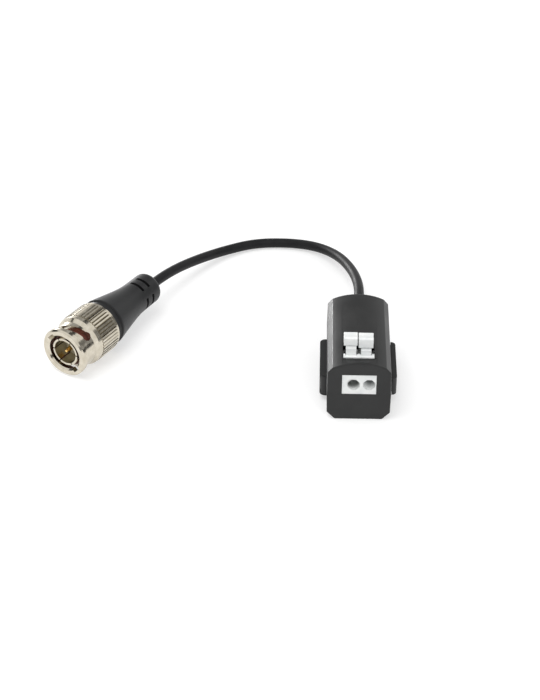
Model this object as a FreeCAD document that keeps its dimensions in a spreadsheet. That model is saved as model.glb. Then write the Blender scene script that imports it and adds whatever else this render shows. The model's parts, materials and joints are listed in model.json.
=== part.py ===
# Passive video balun: a clip-together housing with two push wire terminals,
# and a short coaxial pigtail that ends in a bayonet plug.
# Millimetres. The housing stands on its base at z = 0, centred on the origin.
# Its terminal face looks towards -Y and its cable leaves towards +Y.
import FreeCAD, Part
import math
import os
import re
import Sketcher

doc = FreeCAD.newDocument("VideoBalun")
sheet = doc.addObject("Spreadsheet::Sheet", "Sizes")

# Driving sizes
sizes = {
    # housing
    "housing_length": 33.0,
    "wall": 1.2,
    "base_half": 6.2,
    "base_chamfer": 2.1,
    "hip_half": 8.2,
    "seam_half": 8.3,
    "seam_height": 8.0,
    "shoulder_half": 8.15,
    "shoulder_height": 14.5,
    "roof_half": 6.9,
    "roof_foot": 16.0,
    "roof_top": 17.6,
    "edge_round": 0.4,
    "fit_gap": 0.1,
    "ledge": 1.1,
    # side rails
    "rail_length": 17.0,
    "rail_height": 4.85,
    "rail_root": 0.3,
    "tongue_neck": 0.5,
    "tongue_neck_height": 3.0,
    "tongue_thick": 1.3,
    "tongue_height": 5.2,
    "channel_lip": 0.4,
    "channel_wall": 0.45,
    "rail_gap": 0.1,
    # terminal block and its openings
    "block_half": 4.4,
    "block_top": 13.85,
    "block_recess": 0.15,
    "block_back": 4.6,
    "tower_half": 3.95,
    "tower_offset": -0.2,
    "tower_front": 13.1,
    "tower_back": 6.7,
    "tower_top": 17.2,
    "entry_pitch": 4.0,
    "entry_offset": 0.57,
    "entry_height": 10.85,
    "entry_radius": 1.1,
    "entry_mouth": 1.55,
    "entry_mouth_depth": 0.4,
    "entry_funnel": 1.6,
    "scoop_half": 4.9,
    "scoop_depth": 2.4,
    "scoop_floor": 16.95,
    # chambers, buttons, clamp springs and contact bars
    "chamber_half": 1.65,
    "chamber_front": 11.5,
    "chamber_back": 5.2,
    "chamber_roof": 14.6,
    "button_pitch": 4.0,
    "button_travel": 2.0,
    "stem_half": 1.5,
    "stem_front": 10.7,
    "stem_back": 8.4,
    "stem_gap": 0.08,
    "foot_height": 0.6,
    "foot_reach": 0.4,
    "head_half": 1.92,
    "head_front": 10.95,
    "head_back": 8.0,
    "head_height": 2.5,
    "ridge": 0.35,
    "stem_panel_half": 1.0,
    "stem_panel_low": 17.35,
    "stem_panel_high": 18.9,
    "stem_panel_depth": 0.25,
    "strip": 0.3,
    "strip_half": 1.3,
    "bar_thick": 0.8,
    "bar_riser": 4.5,
    # circuit board and what it carries
    "board_thick": 1.6,
    "board_gap": 0.9,
    "core_outer": 4.2,
    "core_inner": 1.9,
    "core_height": 3.0,
    "core_place": 3.2,
    "winding": 0.45,
    "winding_angle": 140.0,
    "chip_length": 3.2,
    "chip_width": 1.6,
    "chip_height": 1.3,
    "chip_spacing": 3.4,
    "chip_place": 3.1,
    "diode_length": 2.6,
    "diode_width": 4.3,
    "diode_height": 2.2,
    "diode_back": 2.6,
    "diode_side": 4.1,
    "wire_radius": 0.3,
    "wire_length": 2.6,
    "wire_side": 0.85,
    # cable and its anchor
    "cable_radius": 1.4,
    "cable_lead": 0.5,
    "cable_gap": 0.05,
    "anchor_half": 3.2,
    "anchor_length": 2.4,
    "anchor_rise": 2.9,
    # plug, measured along its axis from the lip
    "plug_x": -78.37,
    "plug_y": 0.9,
    "plug_turn": 30.5,
    "lip_radius": 6.95,
    "lip_length": 1.4,
    "lip_bevel": 0.45,
    "barrel_radius": 6.35,
    "barrel_end": 5.7,
    "band_radius": 7.1,
    "band_start": 6.8,
    "knurl_radius": 7.25,
    "knurl_start": 8.3,
    "knurl_end": 14.9,
    "knurl_depth": 0.3,
    "knurl_teeth": 48,
    "knurl_groove_half": 0.33,
    "rim_radius": 7.0,
    "nut_length": 15.7,
    "socket_radius": 4.9,
    "flange_start": 11.6,
    "flange_end": 13.2,
    "flange_bore": 4.27,
    "nut_back_bore": 6.0,
    "slot_width": 2.1,
    "slot_start": 1.8,
    "slot_rise": 2.8,
    "slot_turn": 90.0,
    "slot_phase": 45.0,
    "lock_radius": 1.3,
    "notch_half": 1.15,
    "notch_radius": 5.85,
    "running_gap": 0.07,
    "sleeve_start": 0.7,
    "sleeve_radius": 4.0,
    "sleeve_bore": 3.45,
    "slit_width": 0.35,
    "slit_end": 6.5,
    "slit_count": 6,
    "collar_start": 9.2,
    "collar_end": 10.2,
    "stem_radius": 2.3,
    "stem_end": 20.0,
    "insulator_start": 5.0,
    "insulator_end": 12.0,
    "pin_radius": 0.675,
    "pin_start": 1.2,
    "pin_end": 15.0,
    "gasket_start": 6.8,
    "ring_thick": 0.6,
    "ring_groove": 0.3,
    "ring_reach": 0.8,
    "ring_gap_angle": 60.0,
    "washer_thick": 0.25,
    "ferrule_wall": 0.45,
    "ferrule_end": 33.0,
    "core_radius": 0.9,
    "core_gap": 0.3,
    # boot
    "boot_gap": 0.2,
    "boot_collar": 6.35,
    "boot_collar_length": 0.8,
    "boot_radius": 6.9,
    "boot_taper_end": 29.8,
    "boot_neck": 4.5,
    "boot_end": 39.6,
    "boot_end_bevel": 1.3,
    "relief_first": 32.6,
    "relief_pitch": 2.7,
    "relief_width": 0.85,
    "relief_depth": 1.0,
    "relief_angle": 70.0,
    "relief_count": 4,
}
for row, (name, amount) in enumerate(sizes.items(), start=1):
    sheet.set(f"A{row}", name)
    sheet.set(f"B{row}", str(amount))
    sheet.setAlias(f"B{row}", name)
doc.recompute()


# Expressions, sketches and features
def bound(text):
    """Points every size named in the text at its cell."""
    return re.sub(r"[a-z_]+", lambda m: "Sizes." + m[0] if m[0] in sizes else m[0], text)


def number(text):
    return float(sheet.evalExpression(bound(text)))


def bind(feature, settings):
    for name, text in settings.items():
        feature.setExpression(name, bound(text))


def newBody(label):
    body = doc.addObject("PartDesign::Body", label)
    body.Label = label
    return body


def origin(body, role):
    return next(item for item in body.Origin.OriginFeatures if item.Role == role)


def newSketch(body, name, role, height="0"):
    sketch = body.newObject("Sketcher::SketchObject", name)
    sketch.AttachmentSupport = [(origin(body, role), "")]
    sketch.MapMode = "FlatFace"
    bind(sketch, {"AttachmentOffset.Base.z": height})
    return sketch


def fixPoint(sketch, shape, end, across, along):
    for kind, text in (("DistanceX", across), ("DistanceY", along)):
        index = sketch.addConstraint(Sketcher.Constraint(kind, -1, 1, shape, end, number(text)))
        sketch.setExpression(f"Constraints[{index}]", bound(text))


def addLoop(sketch, points):
    """Adds a closed outline, listed anticlockwise.

    A third value makes the edge to the next point an arc of that radius, which
    bulges outward, or inward if a fourth value says so.
    """
    first = sketch.GeometryCount
    corners = [FreeCAD.Vector(number(p[0]), number(p[1]), 0) for p in points]
    ends = []
    for index, point in enumerate(points):
        start = corners[index]
        finish = corners[(index + 1) % len(points)]
        inward = len(point) == 4
        ends.append((2, 1) if inward else (1, 2))
        if len(point) == 2:
            sketch.addGeometry(Part.LineSegment(start, finish))
            continue
        radius = number(point[2])
        chord = finish - start
        outward = FreeCAD.Vector(chord.y, -chord.x, 0).normalize()
        sagitta = radius - math.sqrt(radius**2 - chord.Length**2 / 4)
        if inward:
            sketch.addGeometry(Part.Arc(finish, start + chord / 2 - outward * sagitta, start))
        else:
            sketch.addGeometry(Part.Arc(start, start + chord / 2 + outward * sagitta, finish))
    for index, point in enumerate(points):
        shape = first + index
        follower = (index + 1) % len(points)
        sketch.addConstraint(Sketcher.Constraint(
            "Coincident", shape, ends[index][1], first + follower, ends[follower][0]))
        fixPoint(sketch, shape, ends[index][0], point[0], point[1])
        if len(point) > 2:
            limit = sketch.addConstraint(Sketcher.Constraint("Radius", shape, number(point[2])))
            sketch.setExpression(f"Constraints[{limit}]", bound(point[2]))


def addCircle(sketch, across, along, radius):
    centre = FreeCAD.Vector(number(across), number(along), 0)
    shape = sketch.addGeometry(Part.Circle(centre, FreeCAD.Vector(0, 0, 1), number(radius)))
    fixPoint(sketch, shape, 3, across, along)
    limit = sketch.addConstraint(Sketcher.Constraint("Radius", shape, number(radius)))
    sketch.setExpression(f"Constraints[{limit}]", bound(radius))


def rectangle(left, low, right, high):
    return [(left, low), (right, low), (right, high), (left, high)]


def finished(body, feature, before=None):
    """Recomputes, and makes sure that a cut has removed something."""
    doc.recompute()
    if "Invalid" in feature.State or feature.Shape.isNull():
        raise RuntimeError(f"{body.Label}: {feature.Name} failed")
    if before is not None and before - body.Shape.Volume < 1e-4:
        raise RuntimeError(f"{body.Label}: {feature.Name} cuts nothing")
    return feature


def pad(body, sketch, length, midplane=False, backwards=False):
    feature = body.newObject("PartDesign::Pad", sketch.Name + "Pad")
    feature.Profile = sketch
    feature.Midplane = midplane
    feature.Reversed = backwards
    bind(feature, {"Length": length})
    return finished(body, feature)


def pocket(body, sketch, length, midplane=False, backwards=False):
    before = body.Shape.Volume
    feature = body.newObject("PartDesign::Pocket", sketch.Name + "Pocket")
    feature.Profile = sketch
    feature.Midplane = midplane
    feature.Reversed = backwards
    bind(feature, {"Length": length})
    return finished(body, feature, before)


def turned(body, sketch, kind="Revolution", angle="360"):
    before = body.Shape.Volume if kind == "Groove" else None
    feature = body.newObject("PartDesign::" + kind, sketch.Name + kind)
    feature.Profile = sketch
    feature.ReferenceAxis = (origin(body, "Z_Axis"), [""])
    feature.Midplane = True
    bind(feature, {"Angle": angle})
    return finished(body, feature, before)


def aroundAxis(body, feature, count):
    pattern = body.newObject("PartDesign::PolarPattern", feature.Name + "Pattern")
    pattern.Originals = [feature]
    pattern.Axis = (origin(body, "Z_Axis"), [""])
    pattern.Angle = 360
    bind(pattern, {"Occurrences": count})
    body.Tip = pattern
    return finished(body, pattern)


def rounded(body, feature, radius, wanted):
    names = [f"Edge{i}" for i, edge in enumerate(feature.Shape.Edges, start=1) if wanted(edge)]
    fillet = body.newObject("PartDesign::Fillet", feature.Name + "Round")
    fillet.Base = (feature, names)
    bind(fillet, {"Radius": radius})
    return finished(body, fillet)


# Housing shells
archRadius = "(({half}) ^ 2 + ({rise}) ^ 2) / (2 * ({rise}))"


def roofOutline(inset):
    """Upper half of the housing's section, moved inward by the inset."""
    half = f"roof_half - {inset} * 0.6"
    foot = f"roof_foot - {inset}"
    arch = archRadius.format(half=half, rise="roof_top - roof_foot")
    return [
        (f"-(seam_half - {inset})", "seam_height"),
        (f"seam_half - {inset}", "seam_height"),
        (f"shoulder_half - {inset}", f"shoulder_height - {inset} * 0.4"),
        (half, foot, arch),
        (f"-({half})", foot),
        (f"-(shoulder_half - {inset})", f"shoulder_height - {inset} * 0.4"),
    ]


def offSeam(edge):
    seam = number("seam_height")
    return any(abs(vertex.Z - seam) > 1e-6 for vertex in edge.Vertexes)


def cableHole(body):
    hole = newSketch(body, body.Name + "CableHole", "XZ_Plane")
    addCircle(hole, "0", "seam_height", "cable_radius + cable_gap")
    pocket(body, hole, "housing_length")


def upperShell():
    body = newBody("upper_shell")
    outside = newSketch(body, "RoofSection", "XZ_Plane")
    addLoop(outside, roofOutline("0"))
    solid = pad(body, outside, "housing_length", midplane=True)
    rounded(body, solid, "edge_round", offSeam)
    inside = newSketch(body, "RoofCavity", "XZ_Plane")
    addLoop(inside, roofOutline("wall"))
    pocket(body, inside, "housing_length - 2 * wall", midplane=True)
    window = newSketch(body, "TerminalWindow", "XZ_Plane")
    side = "block_half + fit_gap"
    addLoop(window, rectangle(f"-({side})", "seam_height", side, "block_top + fit_gap"))
    pocket(body, window, "housing_length", backwards=True)
    opening = newSketch(body, "ButtonWindow", "XY_Plane")
    gap = "fit_gap"
    addLoop(opening, rectangle(
        f"tower_offset - tower_half - {gap}", f"-(tower_front + {gap})",
        f"tower_offset + tower_half + {gap}", f"-(tower_back - {gap})"))
    pocket(body, opening, "2 * roof_top", backwards=True)
    scoop = newSketch(body, "FingerScoop", "XY_Plane", "scoop_floor")
    arch = archRadius.format(half="scoop_half", rise="scoop_depth")
    addLoop(scoop, [
        ("tower_offset - scoop_half", "-(tower_front)", arch),
        ("tower_offset + scoop_half", "-(tower_front)"),
    ])
    pocket(body, scoop, "roof_top", backwards=True)
    cableHole(body)


railRoot = "min(seam_half; hip_half) - rail_root"


def railOutline():
    """T-shaped tongue on the right, to slide into the next housing's channel."""
    low = "rail_height - tongue_neck_height / 2"
    high = "rail_height + tongue_neck_height / 2"
    bottom = "rail_height - tongue_height / 2"
    top = "rail_height + tongue_height / 2"
    root = railRoot
    neck = "seam_half + tongue_neck"
    face = "seam_half + tongue_neck + tongue_thick"
    return [(root, low), (neck, low), (neck, bottom), (face, bottom),
            (face, top), (neck, top), (neck, high), (root, high)]


def channelOutline():
    """C-shaped channel on the left, open towards -X."""
    root = f"-({railRoot})"
    floor = "-seam_half"
    inner = "-(seam_half + tongue_thick + rail_gap)"
    face = "-(seam_half + tongue_thick + rail_gap + channel_lip)"
    slot = "(tongue_height / 2 + rail_gap)"
    mouth = "(tongue_neck_height / 2 + rail_gap)"
    outer = "(tongue_height / 2 + rail_gap + channel_wall)"
    middle = "rail_height"
    return [
        (root, f"{middle} - {outer}"), (root, f"{middle} + {outer}"),
        (face, f"{middle} + {outer}"), (face, f"{middle} + {mouth}"),
        (inner, f"{middle} + {mouth}"), (inner, f"{middle} + {slot}"),
        (floor, f"{middle} + {slot}"), (floor, f"{middle} - {slot}"),
        (inner, f"{middle} - {slot}"), (inner, f"{middle} - {mouth}"),
        (face, f"{middle} - {mouth}"), (face, f"{middle} - {outer}"),
    ]


def lowerShell():
    body = newBody("lower_shell")
    outside = newSketch(body, "TubSection", "XZ_Plane")
    addLoop(outside, [
        ("-base_half", "0"), ("base_half", "0"), ("hip_half", "base_chamfer"),
        ("seam_half", "seam_height"), ("-seam_half", "seam_height"),
        ("-hip_half", "base_chamfer"),
    ])
    solid = pad(body, outside, "housing_length", midplane=True)
    rounded(body, solid, "edge_round", offSeam)
    for name, outline in (("Tongue", railOutline()), ("Channel", channelOutline())):
        rail = newSketch(body, name, "XZ_Plane")
        addLoop(rail, outline)
        pad(body, rail, "rail_length", midplane=True)
    inside = newSketch(body, "TubCavity", "XZ_Plane")
    ledge = "seam_half - wall - ledge"
    board = "seam_height - board_thick"
    rim = "seam_half - wall"
    addLoop(inside, [
        ("-(base_half - wall / 2)", "wall"), ("base_half - wall / 2", "wall"),
        (ledge, "base_chamfer + wall / 2"), (ledge, board), (rim, board),
        (rim, "seam_height"), (f"-({rim})", "seam_height"), (f"-({rim})", board),
        (f"-({ledge})", board), (f"-({ledge})", "base_chamfer + wall / 2"),
    ])
    pocket(body, inside, "housing_length - 2 * wall", midplane=True)
    cableHole(body)


# Terminal block, push buttons, clamp springs and contact bars
def besideMiddle(body, offset, pitch, side):
    """Moves a body to one of a pair of places across the housing."""
    bind(body, {"Placement.Base.x": f"{offset} + {pitch} * {side}"})


def terminalBlock():
    body = newBody("terminal_block")
    front = "housing_length / 2 - block_recess"
    face = newSketch(body, "BlockFace", "XZ_Plane", front)
    addLoop(face, rectangle("-block_half", "seam_height", "block_half", "block_top"))
    pad(body, face, f"{front} - block_back", backwards=True)
    tower = newSketch(body, "Tower", "XY_Plane", "block_top")
    addLoop(tower, rectangle(
        "tower_offset - tower_half", "-tower_front",
        "tower_offset + tower_half", "-tower_back"))
    pad(body, tower, "tower_top - block_top")
    for name, side in (("Left", "-0.5"), ("Right", "0.5")):
        middle = f"tower_offset + button_pitch * {side}"
        entry = f"entry_offset + entry_pitch * {side}"
        chamber = newSketch(body, name + "Chamber", "XY_Plane")
        addLoop(chamber, rectangle(
            f"{middle} - chamber_half", "-chamber_front",
            f"{middle} + chamber_half", "-chamber_back"))
        pocket(body, chamber, "chamber_roof", backwards=True)
        shaft = newSketch(body, name + "Shaft", "XY_Plane")
        addLoop(shaft, rectangle(
            f"{middle} - stem_half - stem_gap", "-(stem_front + stem_gap)",
            f"{middle} + stem_half + stem_gap", "-(stem_back - stem_gap)"))
        pocket(body, shaft, "2 * tower_top", backwards=True)
        bore = newSketch(body, name + "Bore", "XZ_Plane", front)
        addCircle(bore, entry, "entry_height", "entry_radius")
        pocket(body, bore, f"{front} - chamber_front")
        # eight-sided mouth with a funnel behind it
        mouth = newSketch(body, name + "Mouth", "XZ_Plane", front)
        corner = math.tan(math.radians(22.5))
        ring = [(1, -corner), (1, corner), (corner, 1), (-corner, 1),
                (-1, corner), (-1, -corner), (-corner, -1), (corner, -1)]
        addLoop(mouth, [
            (f"{entry} + entry_mouth * {x}", f"entry_height + entry_mouth * {z}")
            for x, z in ring])
        pocket(body, mouth, "entry_mouth_depth")
        funnelIn(body, name + "Funnel", entry, f"{front} - entry_mouth_depth")
    return body


def funnelIn(body, name, across, front):
    """Cone from the mouth down to the wire bore."""
    wide = newSketch(body, name + "Wide", "XZ_Plane", front)
    addCircle(wide, across, "entry_height", "entry_mouth * 0.97")
    narrow = newSketch(body, name + "Narrow", "XZ_Plane", f"{front} - entry_funnel")
    addCircle(narrow, across, "entry_height", "entry_radius")
    before = body.Shape.Volume
    cone = body.newObject("PartDesign::SubtractiveLoft", name)
    cone.Profile = wide
    cone.Sections = [narrow]
    finished(body, cone, before)


def pushButton(label, side):
    body = newBody(label)
    headLow = "tower_top + button_travel + fit_gap"
    headTop = "tower_top + button_travel + fit_gap + head_height"
    footTop = "chamber_roof - fit_gap"
    stem = newSketch(body, "Stem", "XY_Plane", footTop)
    addLoop(stem, rectangle("-stem_half", "-stem_front", "stem_half", "-stem_back"))
    pad(body, stem, f"{headLow} - ({footTop})")
    foot = newSketch(body, "Foot", "XY_Plane", footTop)
    addLoop(foot, rectangle(
        "-stem_half", "-(stem_front + foot_reach)", "stem_half", "-(stem_back - foot_reach)"))
    pad(body, foot, "foot_height", backwards=True)
    head = newSketch(body, "Head", "YZ_Plane")
    addLoop(head, [
        ("-head_front", headLow), ("-head_back", headLow),
        ("-head_back", f"{headTop} - ridge"), ("-head_back - ridge", headTop),
        ("-head_back - 2 * ridge", headTop), ("-head_back - 3 * ridge", f"{headTop} - ridge"),
        ("-head_front + 3 * ridge", f"{headTop} - ridge"), ("-head_front + 2 * ridge", headTop),
        ("-head_front + ridge", headTop), ("-head_front", f"{headTop} - ridge"),
    ])
    pad(body, head, "2 * head_half", midplane=True)
    panel = newSketch(body, "Panel", "XZ_Plane", "stem_front")
    addLoop(panel, rectangle(
        "-stem_panel_half", "stem_panel_low", "stem_panel_half", "stem_panel_high"))
    pocket(body, panel, "stem_panel_depth")
    besideMiddle(body, "tower_offset", "button_pitch", side)


def clampSpring(label, side):
    body = newBody(label)
    top = "chamber_roof - 1.5 * fit_gap - foot_height"
    back = "-(chamber_back + 2 * fit_gap + strip)"
    front = "-(chamber_front - 2 * fit_gap)"
    tip = "-stem_back"
    low = "seam_height + bar_thick + fit_gap"
    strip = newSketch(body, "Strip", "YZ_Plane")
    addLoop(strip, [
        (back, low), (back, top), (front, top), (tip, f"{low} + strip"),
        (f"{tip} + strip", f"{low} + strip"), (f"{front} + 1.5 * strip", f"{top} - strip"),
        (f"{back} - strip", f"{top} - strip"), (f"{back} - strip", low),
    ])
    pad(body, strip, "2 * strip_half", midplane=True)
    besideMiddle(body, "tower_offset", "button_pitch", side)


def contactBar(label, side):
    body = newBody(label)
    back = "-(chamber_back + fit_gap)"
    riser = "-(chamber_back + fit_gap + strip)"
    front = "-(chamber_front - 3 * fit_gap)"
    profile = newSketch(body, "Bar", "YZ_Plane")
    addLoop(profile, [
        (front, "seam_height"), (back, "seam_height"), (back, "seam_height + bar_riser"),
        (riser, "seam_height + bar_riser"), (riser, "seam_height + bar_thick"),
        (front, "seam_height + bar_thick"),
    ])
    pad(body, profile, "2 * strip_half", midplane=True)
    besideMiddle(body, "tower_offset", "button_pitch", side)


# Circuit board and what is soldered to it
boardBack = "(housing_length / 2 - wall - anchor_length - board_gap)"
cableStart = f"({boardBack} + cable_lead)"


def circuitBoard():
    body = newBody("circuit_board")
    outline = newSketch(body, "Board", "XY_Plane", "seam_height - board_thick")
    side = "seam_half - wall - fit_gap"
    addLoop(outline, rectangle(
        f"-({side})", "-(housing_length / 2 - wall - fit_gap)", side, boardBack))
    pad(body, outline, "board_thick")


def balunCore():
    body = newBody("balun_core")
    section = newSketch(body, "CoreSection", "XZ_Plane")
    addLoop(section, rectangle(
        "core_inner", "winding + fit_gap", "core_outer", "winding + fit_gap + core_height"))
    turned(body, section)
    bind(body, {"Placement.Base.y": "core_place", "Placement.Base.z": "seam_height"})


def coreWinding(label, turn):
    """One winding, wrapped round its own sector of the core."""
    body = newBody(label)
    section = newSketch(body, "WindingSection", "XZ_Plane")
    addLoop(section, rectangle(
        "core_inner - winding - fit_gap", "0",
        "core_outer + winding + fit_gap", "2 * winding + 2 * fit_gap + core_height"))
    addLoop(section, rectangle(
        "core_inner - fit_gap", "winding",
        "core_outer + fit_gap", "winding + 2 * fit_gap + core_height"))
    turned(body, section, angle="winding_angle")
    body.Placement = FreeCAD.Placement(
        FreeCAD.Vector(0, number("core_place"), number("seam_height")),
        FreeCAD.Rotation(FreeCAD.Vector(0, 0, 1), turn))


def boardChip(label, length, width, height, across, along):
    chip = doc.addObject("Part::Box", label)
    chip.Label = label
    bind(chip, {
        "Length": length, "Width": width, "Height": height,
        "Placement.Base.x": f"{across} - {length} / 2",
        "Placement.Base.y": f"{along} - {width} / 2",
        "Placement.Base.z": "seam_height",
    })


def solderWire(label, across):
    """Stripped wire that lies on the board, from the cable's end."""
    wire = doc.addObject("Part::Cylinder", label)
    wire.Label = label
    wire.Placement.Rotation = FreeCAD.Rotation(FreeCAD.Vector(1, 0, 0), 90)
    bind(wire, {
        "Radius": "wire_radius", "Height": "wire_length",
        "Placement.Base.x": across, "Placement.Base.y": cableStart,
        "Placement.Base.z": "seam_height + wire_radius",
    })


def cableAnchor():
    """Moulded block that grips the cable behind the rear wall."""
    body = newBody("cable_anchor")
    back = "-(housing_length / 2 - wall)"
    section = newSketch(body, "AnchorSection", "XZ_Plane", back)
    addLoop(section, rectangle(
        "-anchor_half", "wall", "anchor_half", "seam_height + anchor_rise"))
    pad(body, section, "anchor_length")
    hole = newSketch(body, "AnchorHole", "XZ_Plane", back)
    addCircle(hole, "0", "seam_height", "cable_radius + cable_gap")
    pocket(body, hole, "anchor_length", backwards=True)


# Plug pieces, turned about an axis that starts at the lip
plugTurn = math.radians(number("plug_turn"))
plugAxis = FreeCAD.Vector(math.sin(plugTurn), math.cos(plugTurn), 0)
plugSide = FreeCAD.Vector(-plugAxis.y, plugAxis.x, 0)
plugLip = FreeCAD.Vector(number("plug_x"), number("plug_y"), number("knurl_radius"))
plugFrame = FreeCAD.Placement(
    plugLip, FreeCAD.Rotation(plugSide, FreeCAD.Vector(0, 0, 1), plugAxis, "ZXY"))

# radii and stations that several plug pieces share
collarRadius = "(socket_radius - running_gap)"
bodyRadius = "(flange_bore - running_gap)"
washerFace = "(flange_start - running_gap - washer_thick)"
grooveStart = "(flange_end + fit_gap)"
ferruleRadius = "(stem_radius + fit_gap / 2 + ferrule_wall)"
bootStart = "(nut_length + boot_gap)"


def alongPlug(distance):
    return plugLip + plugAxis * distance


def turnedPiece(label, points, angle="360"):
    """A turned piece from its half section, as (radius, distance from the lip) pairs."""
    body = newBody(label)
    section = newSketch(body, "Section", "XZ_Plane")
    addLoop(section, points)
    turned(body, section, angle=angle)
    body.Placement = plugFrame
    return body


def couplingNut():
    body = turnedPiece("coupling_nut", [
        ("socket_radius", "lip_length"), ("barrel_radius", "lip_length"),
        ("barrel_radius", "barrel_end"), ("band_radius", "band_start"),
        ("band_radius", "knurl_start"), ("knurl_radius", "knurl_start"),
        ("knurl_radius", "knurl_end"), ("rim_radius", "knurl_end"),
        ("rim_radius", "nut_length"), ("nut_back_bore", "nut_length"),
        ("nut_back_bore", "flange_end"), ("flange_bore", "flange_end"),
        ("flange_bore", "flange_start"), ("socket_radius", "flange_start"),
    ])
    cutLugSlots(body)
    addLip(body)
    cutKnurl(body)
    phase = FreeCAD.Rotation(FreeCAD.Vector(0, 0, 1), number("slot_phase"))
    body.Placement = plugFrame * FreeCAD.Placement(FreeCAD.Vector(), phase)


def cutLugSlots(body):
    """Two helical slots through the barrel, each ending in a round lock."""
    slot = newSketch(body, "SlotSection", "XZ_Plane")
    addLoop(slot, rectangle(
        "socket_radius - 1", "slot_start - slot_width / 2",
        "knurl_radius", "slot_start + slot_width / 2"))
    before = body.Shape.Volume
    helix = body.newObject("PartDesign::SubtractiveHelix", "LugSlot")
    helix.Profile = slot
    helix.ReferenceAxis = (origin(body, "Z_Axis"), [""])
    helix.Mode = "height-turns-angle"
    bind(helix, {"Height": "slot_rise", "Turns": "slot_turn / 360"})
    finished(body, helix, before)
    aroundAxis(body, helix, "2")
    lock = newSketch(body, "LockHole", "XZ_Plane")
    addCircle(lock, "0", "slot_start + slot_rise", "lock_radius")
    pocket(body, lock, "2 * knurl_radius", midplane=True)


def addLip(body):
    """Bevelled front ring, with two notches that let the lugs in."""
    ring = newSketch(body, "LipSection", "XZ_Plane")
    addLoop(ring, [
        ("socket_radius", "lip_bevel"), ("socket_radius + lip_bevel", "0"),
        ("lip_radius - lip_bevel", "0"), ("lip_radius", "lip_bevel"),
        ("lip_radius", "lip_length"), ("socket_radius", "lip_length"),
    ])
    turned(body, ring)
    notch = newSketch(body, "LugNotch", "XY_Plane")
    addLoop(notch, rectangle("-notch_radius", "-notch_half", "notch_radius", "notch_half"))
    pocket(body, notch, "slot_start + slot_width / 2", backwards=True)


def cutKnurl(body):
    """Straight knurl, as one V groove repeated around the grip."""
    groove = newSketch(body, "KnurlGroove", "XY_Plane", "knurl_start")
    outside = "knurl_radius + knurl_depth / 4"
    addLoop(groove, [
        ("knurl_radius - knurl_depth", "0"), (outside, "-knurl_groove_half"),
        (outside, "knurl_groove_half"),
    ])
    cut = pocket(body, groove, "knurl_end - knurl_start", backwards=True)
    aroundAxis(body, cut, "knurl_teeth")


def plugBody():
    """Inner body: slit contact sleeve, collar, neck for the ring and cable stem."""
    bore = "core_radius + core_gap"
    body = turnedPiece("plug_body", [
        ("sleeve_bore", "sleeve_start"), ("sleeve_radius", "sleeve_start"),
        ("sleeve_radius", "collar_start"), (collarRadius, "collar_start"),
        (collarRadius, "collar_end"), (bodyRadius, "collar_end"),
        (bodyRadius, grooveStart), (f"{bodyRadius} - ring_groove", grooveStart),
        (f"{bodyRadius} - ring_groove", f"{grooveStart} + ring_thick + fit_gap"),
        (bodyRadius, f"{grooveStart} + ring_thick + fit_gap"), (bodyRadius, "nut_length"),
        ("stem_radius", "nut_length"), ("stem_radius", "stem_end"), (bore, "stem_end"),
        (bore, "insulator_end"), ("sleeve_bore", "insulator_end"),
    ])
    slit = newSketch(body, "Slit", "XZ_Plane")
    addLoop(slit, rectangle(
        "sleeve_bore - slit_width", "sleeve_start - slit_width",
        "sleeve_radius + slit_width", "slit_end"))
    cut = pocket(body, slit, "slit_width", midplane=True)
    aroundAxis(body, cut, "slit_count")


def retainingRing():
    inner = f"{bodyRadius} - ring_groove + fit_gap / 2"
    outer = "flange_bore + ring_reach"
    start = f"{grooveStart} + fit_gap / 2"
    turnedPiece("retaining_ring", rectangle(
        inner, start, outer, f"{start} + ring_thick"), "360 - ring_gap_angle")


def springWasher():
    """Bowed washer between the collar and the slip washer."""
    body = newBody("spring_washer")
    half = "(socket_radius - 2 * fit_gap)"
    low = "collar_end + fit_gap / 2"
    rise = f"({washerFace} - collar_end - washer_thick - fit_gap)"
    bend = archRadius.format(half=half, rise=rise)
    strip = newSketch(body, "Bow", "XZ_Plane")
    addLoop(strip, [
        (f"-{half}", f"{low} + {rise}", bend), (half, f"{low} + {rise}"),
        (half, f"{low} + {rise} + washer_thick", bend, "inward"),
        (f"-{half}", f"{low} + {rise} + washer_thick"),
    ])
    pad(body, strip, f"2 * {half}", midplane=True)
    hole = newSketch(body, "Hole", "XY_Plane")
    addCircle(hole, "0", "0", "flange_bore + fit_gap / 2")
    pocket(body, hole, "flange_start", backwards=True)
    trim = newSketch(body, "Trim", "XY_Plane")
    addLoop(trim, rectangle(f"-2 * {half}", f"-2 * {half}", f"2 * {half}", f"2 * {half}"))
    addCircle(trim, "0", "0", half)
    pocket(body, trim, "flange_start", backwards=True)
    body.Placement = plugFrame


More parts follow.
